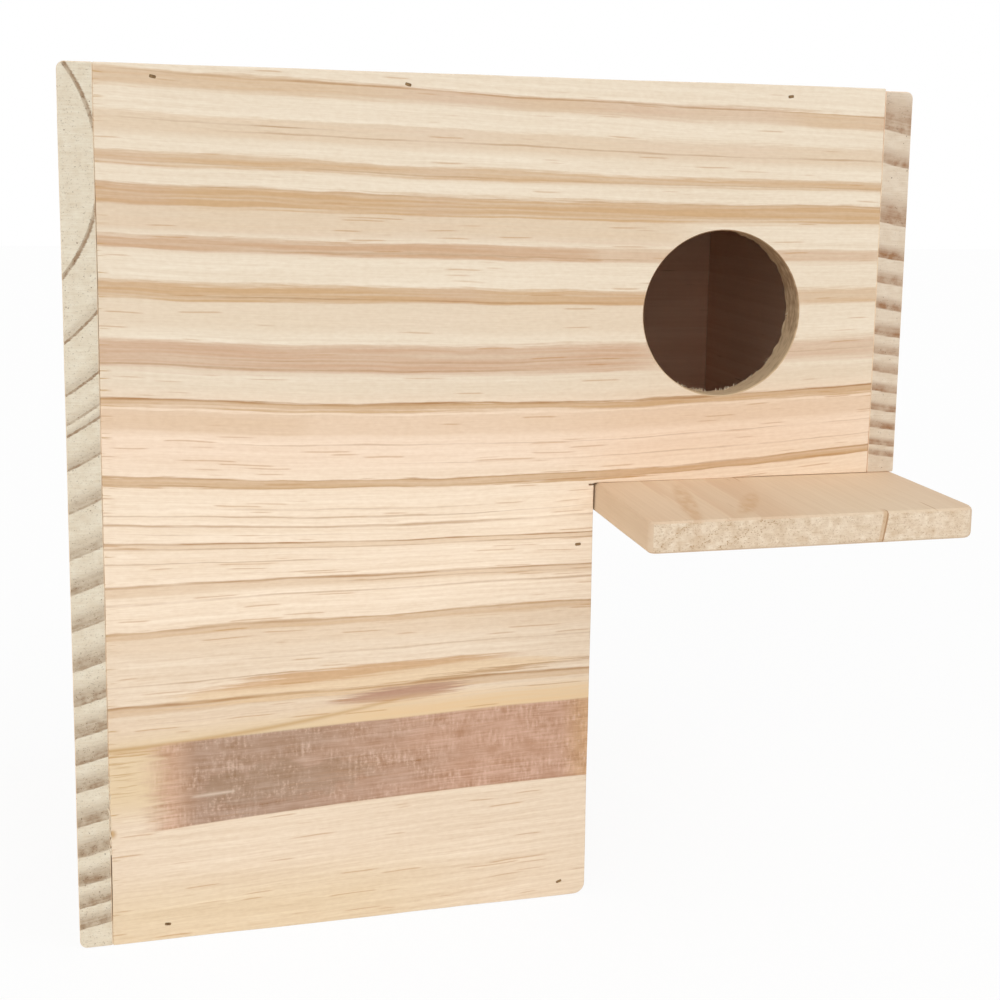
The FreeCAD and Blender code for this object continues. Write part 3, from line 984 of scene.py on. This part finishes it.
# rings on the two sides' front ends: radius where it stops, soft width, depth of its body and its edge
leftRings = [
    (58.1, 0.5, 0.9, 1.0), (73.0, 4.0, 0.35, 1.0), (87.1, 4.0, 0.4, 1.0), (95.4, 3.0, 0.3, 0.65),
    (98.8, 2.0, 0.4, 0.9), (108.8, 5.0, 0.5, 0.85), (122.2, 6.0, 0.6, 0.8), (136.8, 7.0, 0.6, 0.6),
    (148.3, 7.0, 0.75, 0.4), (160.3, 7.0, 0.75, 0.3), (173.4, 8.0, 0.8, 0.3), (185.1, 8.0, 0.85, 0.3),
    (196.1, 8.0, 0.9, 0.3), (205.4, 7.0, 0.85, 0.3), (215.0, 7.0, 0.85, 0.3), (227.0, 8.0, 0.85, 0.3),
    (237.8, 8.0, 0.9, 0.3), (248.0, 7.0, 0.9, 0.3), (256.0, 6.0, 0.85, 0.3), (263.4, 6.0, 0.85, 0.3),
]
rightRings = [
    (210.5, 15.0, 0.8, 0.5), (222.5, 6.0, 0.7, 0.6), (243.0, 11.0, 0.8, 0.5), (256.0, 5.0, 0.9, 0.6),
    (265.5, 5.0, 0.7, 0.4), (274.5, 4.0, 0.8, 0.6), (284.0, 5.0, 0.7, 0.4), (291.0, 4.0, 0.65, 0.4),
    (298.0, 4.0, 0.7, 0.5), (305.3, 3.0, 0.8, 0.7), (312.4, 3.0, 0.75, 0.6), (319.1, 3.0, 0.75, 0.7),
    (325.5, 2.5, 0.7, 0.5), (329.5, 2.0, 0.7, 0.6),
]

otherBoards = {
    "left_board": dict(
        node="left_side", axis=alongY, easing=0.5, wobble=0.12, rounds=(2.5, 0.0, 0.0, 2.5),
        nails="left_nails",
        look=boardLook(
            grain=alongY, pith=(-135.8, 266.7), sway=1.0, taper=0.0, ringEnds=leftRings,
            endPale=tone("e4d8c2"), endDark=tone("a0866b"), endCurve=1.0, endContrast=0.9, endBlotch=2.0,
            poreSize=0.5, poreDepth=0.4, pores=0.75),
    ),
    "right_board": dict(
        node="right_side", axis=alongY, easing=0.5, wobble=0.12, rounds=(0.0, 0.0, 2.5, 0.0),
        nails="right_nails", inner=(-1, 0, 0),
        look=boardLook(
            grain=alongY, pith=(248.5, 490.0), sway=2.0, taper=0.0, ringEnds=rightRings, contrast=0.6,
            dashes=0.2, endPale=tone("e1d0ba"), endDark=tone("9f7757"), endCurve=0.8, endContrast=0.9,
            endBlotch=2.2, **creamPine),
    ),
    "back_board": dict(
        node="back_panel", axis=alongY, easing=0.8, wobble=0.2, nails="back_nails", inner=(0, -1, 0),
        look=boardLook(
            pith=(150.0, 330.0), ringWidth=13.0, sway=14.0, seed=5.0, taper=0.03, contrast=0.55, dashes=0.2,
            **creamPine),
    ),
    "roof_board": dict(
        node="roof", axis=alongZ, easing=0.4, wobble=0.15,
        look=boardLook(pith=(15.0, 250.0), ringWidth=8.0, sway=12.0, seed=9.0, taper=0.03),
    ),
    "floor_board": dict(
        node="nest_floor", axis=alongZ, easing=0.4, wobble=0.15,
        look=boardLook(
            pith=(-20.0, 60.0), ringWidth=8.0, sway=10.0, seed=13.0, contrast=0.55, endContrast=0.5),
    ),
    "landing": dict(
        node="landing_board", axis=alongZ, easing=1.7, wobble=0.25, rounds=(3.0, 5.0, 0.0, 0.0),
        nails="landing_nails",
        look=boardLook(
            grain=alongY, pith=(176.0, 60.0), ringWidth=11.0, sway=16.0, seed=17.0, early=tone("e0caae"),
            warm=tone("dec4a7"), late=tone("cfab88"), contrast=0.4, streaks=0.22, dashes=0.15,
            endPale=tone("e6d1b7"), endDark=tone("c9ac8a"), endPore=tone("b48f68"), poreSize=0.55,
            poreDepth=0.42, pores=1.0, endContrast=0.2, mottle=0.75, resinAt=175.0, resinLevel=151.0,
            resinLean=0.16, resinEnd=-150.5, resin=tone("c79f74"), resinDark=tone("a2754e"), stainWidth=3.6,
            stains=[((-131.0, 133.0), (17.0, 9.0), 0.6), ((-124.0, 113.3), (30.0, 6.6), 0.55)]),
    ),
    "rail_board": dict(
        node="head_rail", axis=alongX, easing=0.4, wobble=0.12, nails="rail_nails",
        look=boardLook(grain=alongY, pith=(60.0, 190.0), sway=8.0, seed=21.0),
    ),
    "door_board": dict(
        node="inspection_door", body="door", axis=alongX, easing=0.6, wobble=0.15,
        look=boardLook(grain=alongY, pith=(55.0, 50.0), sway=12.0, seed=25.0, taper=0.04),
    ),
    "stop_batten": dict(
        node="door_stop", axis=alongZ, easing=0.5, wobble=0.1,
        look=boardLook(grain=alongZ, pith=(60.0, -60.0), ringWidth=5.0, sway=5.0, seed=29.0),
    ),
}


def hangingHoles(low, high):
    # cutters for the two holes that the record's mount names
    holes = [m for m in frame["record"]["mounts"] if m["name"] == "hanging_holes"][0]
    x, _, z = holes["pos_m"]
    radius, spacing = (holes["dims"][key] * mm for key in ("hole_r_mm", "spacing_x_mm"))
    rings = [circle(x + side * spacing, z, radius, 40) for side in (-0.5, 0.5)]
    return [prismMesh("hangingHole", ring, alongY, low.y - past, high.y + past) for ring in rings]


for name, board in otherBoards.items():
    low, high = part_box(board["node"])
    axis, look = board["axis"], board["look"]
    corners = rectangle(low, high, axis, board.get("rounds", (0.0,) * 4))
    cutters = nailSlots(board["nails"]) if "nails" in board else []
    if name == "back_board":
        corners = panelCorners(low, high, towerEdge, ledgeHeight)
        cutters += hangingHoles(low, high)
    outline = outlineOf(corners, boardMaking["outlineStep"] * mm)
    mesh = prismMesh(name, outline, axis, low[axis], high[axis], board["wobble"] * mm, int(look["seed"]))
    finishes = [pineMaterial(name + "Pine", look), endMaterial(name + "End", look)]
    # painted light: a plainer, warmer copy of the finish for the faces inside the chamber
    if "inner" in board:
        finishes.append(pineMaterial(name + "InnerPaintedLight", dict(look, **innerLook)))
    piece = boardPiece(name, mesh, finishes, look["grain"], board["easing"], cutters)
    # the faces that look into the chamber take the painted-light copy
    if "inner" in board:
        for face in piece.data.polygons:
            if face.normal.dot(Vector(board["inner"])) > 0.9:
                face.material_index = 2
    finishPiece(piece, board.get("body", "box"), "pine", board["node"])
print("boards done")


# Geometry Nodes helpers

def geometryTree(build):
    # makes a tree of a function that sets a piece on each point of a mesh
    tree, inputs = startTree(build, "GeometryNodeTree")
    tree.interface.new_socket("Geometry", in_out="OUTPUT", socket_type="NodeSocketGeometry")
    real = newNode("GeometryNodeRealizeInstances", {0: build(**inputs)})
    coated = newNode("GeometryNodeSetMaterial", {"Geometry": real, "Material": inputs["material"]})
    feed(tree.nodes.new("NodeGroupOutput"), {"Geometry": coated})
    return tree


def cube(size):
    return newNode("GeometryNodeMeshCube", {"Size": size}, "Mesh")


def cone(sides, foot, top, depth):
    inputs = {"Vertices": sides, "Radius Bottom": foot, "Radius Top": top, "Depth": depth}
    return newNode("GeometryNodeMeshCone", inputs, "Mesh")


def raised(geometry, height):
    return newNode("GeometryNodeTransform", {"Geometry": geometry, "Translation": joined(0.0, 0.0, height)})


def gathered(*parts):
    node = parts[0].tree.nodes.new("GeometryNodeJoinGeometry")
    for part in parts:
        feed(node, {0: part})
    return wire(node.outputs[0])


def carried(points, name):
    # a vector that each point carries
    return newNode("GeometryNodeInputNamedAttribute", {"Name": name}, "Attribute", points.tree,
                   data_type="FLOAT_VECTOR")


def onPoints(points, instance, **ways):
    inputs = {label(name): value for name, value in ways.items()}
    return newNode("GeometryNodeInstanceOnPoints", dict(inputs, Points=points, Instance=instance))


def grow(name, tree, points, vectors, **settings):
    # puts the tree on a mesh of points that carry vectors, and keeps the result as a plain mesh
    data = bpy.data.meshes.new(name)
    data.from_pydata([tuple(p) for p in points], [], [])
    for key, values in vectors.items():
        column = data.attributes.new(key, "FLOAT_VECTOR", "POINT")
        for entry, value in zip(column.data, values):
            entry.vector = value
    piece = newObject(name, data)
    modifier = piece.modifiers.new("grow", "NODES")
    modifier.node_group = tree
    sockets = {item.name: item.identifier for item in tree.interface.items_tree if item.in_out == "INPUT"}
    for key, value in settings.items():
        modifier[sockets[label(key)]] = value
    settle(piece)
    return piece


def inMetres(sizes):
    return {key: size * mm for key, size in sizes.items()}


# Metal finishes

def steelMaterial(name, base, worn, metallic, roughness, brushed):
    material, surface = newMaterial(name)
    point = grainPoint(material, alongZ)
    cloud = noiseAt(point, (3.0, 2.0, 2.0), 4.0)
    scratch = noiseAt(point, brushed)
    colour = mixed(cloud.smooth(0.4, 0.65), tone(base), tone(worn))
    feed(surface, {"Base Color": colour, "Metallic": metallic, "Roughness": scratch * 0.25 + roughness,
                   "Normal": relief(cloud * 0.3 + scratch, 0.15, 0.03)})
    return material


zincSteel = steelMaterial("zincSteel", "cfccc2", "bab6a9", 1.0, 0.22, (9.0, 0.12, 0.12))
nailSteel = steelMaterial("nailSteel", "947650", "6d5233", 0.4, 0.5, (0.4, 0.4, 0.4))

hingeParts = ("hinge_frame_leaf", "hinge_door_leaf", "hinge_pin")
hingeNodes = [level + part for part in hingeParts for level in ("lower_", "upper_")]
for node in (*hingeNodes, "button_washer", "button_screw"):
    nodes[node].data.materials.clear()
    nodes[node].data.materials.append(zincSteel)
print("steel finishes on the hinges, washer and screw")


# Brad nails

@geometryTree
def bradNail(geometry, headLength=1.0, headWidth=1.0, headDepth=1.0, shankRadius=1.0, shankLength=1.0,
             material=None):
    inside = headDepth * 0.5
    head = raised(cube(joined(headLength, headWidth, headDepth)), inside)
    inputs = {"Vertices": 12, "Radius": shankRadius, "Depth": shankLength}
    shank = raised(newNode("GeometryNodeMeshCylinder", inputs, "Mesh"), shankLength * 0.5 + inside)
    tip = raised(cone(12, shankRadius * 0.95, 0.0, shankRadius * 3.0), inside * 0.8 + shankLength)
    return onPoints(geometry, gathered(head, shank, tip), rotation=carried(geometry, "aim"))


def driveAim(drive, outward, turn):
    # the turn that points local Z into the wood, with local X along the head
    axes = Matrix.Identity(3)
    a, b = (axes[k] for k in otherAxes(drive))
    inward = axes[drive] * -outward
    length = a * math.cos(turn) + b * math.sin(turn)
    return Vector(Matrix((length, inward.cross(length), inward)).transposed().to_euler())


for node, spots in nailSpots.items():
    aims = [driveAim(*bradNails["groups"][node], turn) for _, turn in spots]
    places = [place for place, _ in spots]
    nails = grow(node.replace("nails", "brads"), bradNail, places, {"aim": aims}, material=nailSteel,
                 **inMetres(bradNails["sizes"]))
    finishPiece(nails, "box", "nail_steel", node)
print("nails done")


# Hinge screws, with level slots

hingeScrews = {
    "groups": {"frame_hinge_screws": "box", "door_hinge_screws": "door"},
    "sizes": {
        "headRadius": 1.9,
        "headDepth": 1.0,
        "shankRadius": 1.0,
        "length": 8.5,
        "slotWidth": 0.5,
        "slotDepth": 0.4,
    },
    "slotTurn": 90.0,
}


@geometryTree
def hingeScrew(geometry, headRadius=1.0, headDepth=1.0, shankRadius=1.0, length=1.0, slotWidth=1.0,
               slotDepth=1.0, driveTurn=(0.0, 0.0, 0.0), material=None):
    head = cone(40, headRadius, shankRadius, headDepth)
    slot = cube(joined(slotWidth, headRadius * 3.0, slotDepth * 2.0))
    slotted = newNode("GeometryNodeMeshBoolean", {"Mesh 1": head, "Mesh 2": slot}, operation="DIFFERENCE")
    shank = raised(cone(20, shankRadius, shankRadius * 0.15, length - headDepth), headDepth)
    return onPoints(geometry, gathered(slotted, shank), rotation=driveTurn)


for node, body in hingeScrews["groups"].items():
    aim = driveAim(alongX, 1, math.radians(hingeScrews["slotTurn"]))
    screws = grow(node.replace("_screws", "_slotted"), hingeScrew, fastenerPlaces(node, alongX, 1), {},
                  driveTurn=tuple(aim), material=zincSteel, **inMetres(hingeScrews["sizes"]))
    finishPiece(screws, body, "hinge_steel", node)
print("hinge screws done")


# Climbing rungs across the door's inner face

climbingRungs = {
    "nodes": ("climbing_rung_1", "climbing_rung_2", "climbing_rung_3"),
    "easing": 0.9,
    "look": boardLook(grain=alongY, pith=(52.0, 60.0), ringWidth=6.0, sway=6.0, seed=33.0, contrast=0.5),
}


@geometryTree
def climbingRung(geometry, length=1.0, width=1.0, height=1.0, easing=0.1, material=None):
    start, end = (joined(0.0, length * side, 0.0) for side in (-0.5, 0.5))
    line = newNode("GeometryNodeCurvePrimitiveLine", {"Start": start, "End": end})
    profile = newNode("GeometryNodeCurvePrimitiveQuadrilateral", {"Width": width, "Height": height})
    inputs = {"Curve": profile, "Radius": easing, "Count": 5}
    profile = newNode("GeometryNodeFilletCurve", inputs, mode="POLY")
    bar = newNode("GeometryNodeCurveToMesh", {"Curve": line, "Profile Curve": profile, "Fill Caps": True})
    return onPoints(geometry, bar)


rungBoxes = [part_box(node) for node in climbingRungs["nodes"]]
rungSize = rungBoxes[0][1] - rungBoxes[0][0]
places = [(low + high) / 2 for low, high in rungBoxes]
rungPine = pineMaterial("rungPine", climbingRungs["look"])
rungs = grow("climbing_rungs", climbingRung, places, {}, length=rungSize.y, width=rungSize.x,
             height=rungSize.z, easing=climbingRungs["easing"] * mm, material=rungPine)
finishPiece(rungs, "door", "pine", *climbingRungs["nodes"])
print("climbing rungs done")


# Turned knob and turn button

hardwoodLook = boardLook(
    ringWidth=3.0, sway=2.0, seed=37.0, early=tone("dcbc92"), warm=tone("d8b488"), late=tone("b98d5c"),
    contrast=0.5, streaks=0.3, dashes=0.4)

doorKnob = {
    "pegRadius": 3.0,
    "neckRadius": 5.0,
    "shoulderRadius": 8.0,
    "shoulderHeight": 6.0,
    "flareSteps": 12,
    "domeSteps": 45,
    "grooves": (14.0, 52.0),  # degrees up the dome
    "grooveDepth": 0.22,
    "grooveWidth": 3.0,  # degrees
    "tipRadius": 0.001,  # a ring no wider than this is one point
    "sides": 72,
    "sharpAngle": 40.0,
}


def knobProfile(pegDepth, reach):
    # heights over the door's face and radii, in mm, from the peg's end to the crown
    peg, neck, shoulder = (doorKnob[part + "Radius"] for part in ("peg", "neck", "shoulder"))
    rise = doorKnob["shoulderHeight"]
    profile = [(-pegDepth, 0.0), (-pegDepth, peg), (0.0, peg), (0.0, neck)]
    for k in range(1, doorKnob["flareSteps"] + 1):
        share = k / doorKnob["flareSteps"]
        profile.append((share * rise, neck + (shoulder - neck) * share ** 2.2))
    for k in range(1, doorKnob["domeSteps"] + 1):
        degrees = 90 * k / doorKnob["domeSteps"]
        away = [(degrees - groove) / doorKnob["grooveWidth"] for groove in doorKnob["grooves"]]
        groove = sum(math.exp(-widths ** 2) for widths in away) * doorKnob["grooveDepth"]
        radius = shoulder * math.cos(math.radians(degrees)) - groove
        profile.append((rise + (reach - rise) * math.sin(math.radians(degrees)), max(0.0, radius)))
    return profile


knobLow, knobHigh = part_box("door_knob")
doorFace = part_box("inspection_door")[1].x
knobMiddle = (knobLow + knobHigh) / 2
knobRings = []
for height, radius in knobProfile((doorFace - knobLow.x) / mm, (knobHigh.x - doorFace) / mm):
    sides = doorKnob["sides"] if radius > doorKnob["tipRadius"] else 1
    ring = circle(knobMiddle.y, knobMiddle.z, radius * mm if sides > 1 else 0.0, sides)
    knobRings.append([(doorFace + height * mm, y, z) for y, z in ring])
knobMesh = loftMesh("pull_knob", knobRings)
knobMesh.materials.append(pineMaterial("knobWood", hardwoodLook))
knobMesh.shade_smooth()
knobMesh.set_sharp_from_angle(angle=math.radians(doorKnob["sharpAngle"]))
finishPiece(newObject("pull_knob", knobMesh), "door", "turned_wood", "door_knob")

turnButton = {
    "easing": 0.7,
    "holeRadius": 1.7,
    "look": dict(hardwoodLook, grain=alongY),
}

buttonLow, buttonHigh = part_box("turn_button")
buttonRadius = (buttonHigh.z - buttonLow.z) / 2
buttonHeight = (buttonHigh.z + buttonLow.z) / 2
pivotY = buttonLow.y + buttonRadius
halfTurn = [math.radians(90 + 9 * k) for k in range(21)]
outline = []
for y, reach in ((pivotY, buttonRadius), (buttonHigh.y - buttonRadius, -buttonRadius)):
    outline += [(y + reach * math.cos(a), buttonHeight + reach * math.sin(a)) for a in halfTurn]
buttonMesh = prismMesh("turn_latch", outline, alongX, buttonLow.x, buttonHigh.x)
boreOutline = circle(pivotY, buttonHeight, turnButton["holeRadius"] * mm, 32)
boreCutter = prismMesh("buttonBore", boreOutline, alongX, buttonLow.x - past, buttonHigh.x + past)
buttonFinishes = [pineMaterial("buttonWood", turnButton["look"])]
latch = boardPiece("turn_latch", buttonMesh, buttonFinishes, alongY, turnButton["easing"], [boreCutter])
finishPiece(latch, "button", "turned_wood", "turn_button")
print("knob and turn button done")


# Torn fibres at the entrance's rear rim and along the front's left joint

tornFibres = {
    # angle round the rim and spread in degrees, then how many
    "clusters": ((-112.0, 6.0, 26), (-98.0, 7.0, 34), (-80.0, 7.0, 16), (-60.0, 12.0, 16), (-40.0, 4.0, 12),
                 (-3.0, 3.0, 8)),
    "width": (0.25, 0.75),
    "length": (0.7, 1.9),
    "thick": 0.2,
    "jointSpan": (33.0, 62.0),  # heights of the frayed joint
    "jointCount": 26,
    "jointLength": (1.2, 3.2),
    "jointThick": 0.4,
    "sides": 6,
    "tip": 0.1,
    "seed": 71,
    "look": boardLook(
        early=tone("e8dac4"), warm=tone("e6d5ba"), late=tone("dcc8a6"), contrast=0.3, dashes=0.0),
}


@geometryTree
def tornFibre(geometry, sides=6, tip=0.1, material=None):
    flake = cone(sides, 0.5, tip, 1.0)
    return onPoints(geometry, flake, rotation=carried(geometry, "aim"), scale=carried(geometry, "size"))


def aimAlong(way):
    return Vector(way.to_track_quat("Z", "X").to_euler())


fibrePicker = random.Random(tornFibres["seed"])
pick = fibrePicker.uniform
rimReach = (frontBoard["entranceRadius"] + 0.4) * mm
fibrePlaces, fibreAims, fibreSizes = [], [], []
for middleAngle, spread, count in tornFibres["clusters"]:
    for k in range(count):
        angle = math.radians(fibrePicker.gauss(middleAngle, spread / 2))
        outward = Vector((math.cos(angle), 0.0, math.sin(angle)))
        lean = Vector((pick(-0.5, 0.5), pick(-0.5, 0.1), pick(-0.5, 0.5)))
        place = entranceMiddle + outward * rimReach
        place.y = panelHigh.y - pick(0.2, 1.2) * mm
        fibrePlaces.append(place)
        fibreAims.append(aimAlong(lean - outward))
        width, length = pick(*tornFibres["width"]), pick(*tornFibres["length"])
        fibreSizes.append(Vector((tornFibres["thick"], width, length)) * mm)
jointLow, jointHigh = tornFibres["jointSpan"]
for k in range(tornFibres["jointCount"]):
    height = jointLow + (jointHigh - jointLow) * (k + pick(-0.4, 0.4)) / tornFibres["jointCount"]
    fibrePlaces.append(Vector((panelLow.x + pick(-0.1, 0.2) * mm, panelLow.y + 0.15 * mm, height * mm)))
    fibreAims.append(aimAlong(Vector((pick(-0.35, 0.35), -0.08, 1.0))))
    thick = tornFibres["jointThick"]
    fibreSizes.append(Vector((thick, thick, pick(*tornFibres["jointLength"]))) * mm)
fibreVectors = {"aim": fibreAims, "size": fibreSizes}
tornPine = pineMaterial("tornPine", tornFibres["look"])
fibres = grow("torn_fibres", tornFibre, fibrePlaces, fibreVectors, sides=tornFibres["sides"],
              tip=tornFibres["tip"], material=tornPine)
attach(fibres, "box")
print("torn fibres done:", len(fibrePlaces))


# Studio

studio = {
    "floorSize": 8.0,
    "floorDrop": 0.0002,  # just under the sawn foot
    "floorColour": tone("fbfbfa"),
    "floorGlow": 0.92,  # share of plain white that the camera sees in the floor
    "worldLight": 0.42,
    "lamps": {  # way to the lamp, strength and how wide it looks in degrees
        "frontSoftbox": ((-0.38, -0.86, 0.36), 0.85, 50.0),
        "rightSoftbox": ((0.5, -0.3, 0.8), 1.05, 60.0),
        "leftFill": ((-0.8, -0.3, 0.5), 0.4, 60.0),
    },
}

photoCamera = {
    "place": (-0.06614, -0.59418, 0.27145),
    "turn": 15.07,  # degrees to the right of straight ahead
    "dip": 8.33,
    "roll": 1.09,
    "sensor": 36.0,
    "lens": 53.82,
    "shift": (-0.04, -0.12),
}


def seenRays(tree):
    # 1 on rays that show a surface to the camera, straight on or through other surfaces
    kinds = ("Is Camera Ray", "Is Glossy Ray", "Is Transmission Ray")
    camera, glossy, through = (newNode("ShaderNodeLightPath", {}, kind, tree) for kind in kinds)
    return maths("MAXIMUM", maths("MAXIMUM", camera, glossy), through)


def blended(share, first, second):
    return newNode("ShaderNodeMixShader", {0: share, 1: first, 2: second})


def makeFloor():
    half = studio["floorSize"] / 2
    data = bpy.data.meshes.new("studioFloor")
    signs = ((-1, -1), (1, -1), (1, 1), (-1, 1))
    corners = [(x * half, y * half, -studio["floorDrop"]) for x, y in signs]
    data.from_pydata(corners, [], [(0, 1, 2, 3)])
    floor = newObject("studioFloor", data)
    material, surface = newMaterial("studioFloor")
    tree = material.node_tree
    feed(surface, {"Base Color": studio["floorColour"], "Roughness": 0.9, "Specular IOR Level": 0.0})
    white = newNode("ShaderNodeEmission", {"Color": (1, 1, 1, 1), "Strength": 1.0}, tree=tree)
    lit = blended(seenRays(tree) * studio["floorGlow"], wire(surface.outputs[0]), white)
    under = newNode("ShaderNodeNewGeometry", {}, "Backfacing", tree)
    clear = newNode("ShaderNodeBsdfTransparent", {}, tree=tree)
    feed(tree.nodes["Material Output"], {"Surface": blended(under, lit, clear)})
    data.materials.append(material)
    floor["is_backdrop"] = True


def makeWorld():
    world = bpy.data.worlds.new("studioWorld")
    bpy.context.scene.world = world
    world.use_nodes = True
    tree = world.node_tree
    tree.nodes.clear()
    white = {"Color": (1, 1, 1, 1)}
    light, bright = (newNode("ShaderNodeBackground", dict(white, Strength=strength), tree=tree)
                     for strength in (studio["worldLight"], 1.0))
    feed(tree.nodes.new("ShaderNodeOutputWorld"), {"Surface": blended(seenRays(tree), light, bright)})


def makeLamps():
    for name, (way, strength, width) in studio["lamps"].items():
        lamp = bpy.data.lights.new(name, "SUN")
        lamp.energy = strength
        lamp.angle = math.radians(width)
        made = newObject(name, lamp)
        made.rotation_euler = (-Vector(way)).to_track_quat("-Z", "Y").to_euler()


def makeCamera():
    lens = bpy.data.cameras.new("photoCamera")
    lens.sensor_width = photoCamera["sensor"]
    lens.lens = photoCamera["lens"]
    lens.shift_x, lens.shift_y = photoCamera["shift"]
    lens.clip_start = 0.01
    camera = newObject("photoCamera", lens)
    turn, dip, roll = (math.radians(photoCamera[key]) for key in ("turn", "dip", "roll"))
    ahead = Vector((math.sin(turn) * math.cos(dip), math.cos(turn) * math.cos(dip), -math.sin(dip)))
    camera.rotation_mode = "QUATERNION"
    camera.rotation_quaternion = ahead.to_track_quat("-Z", "Y") @ Quaternion((0, 0, 1), roll)
    camera.location = photoCamera["place"]
    bpy.context.scene.camera = camera


makeFloor()
makeWorld()
makeLamps()
makeCamera()
bpy.context.scene.view_settings.view_transform = "Standard"
print("studio ready")

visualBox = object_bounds()
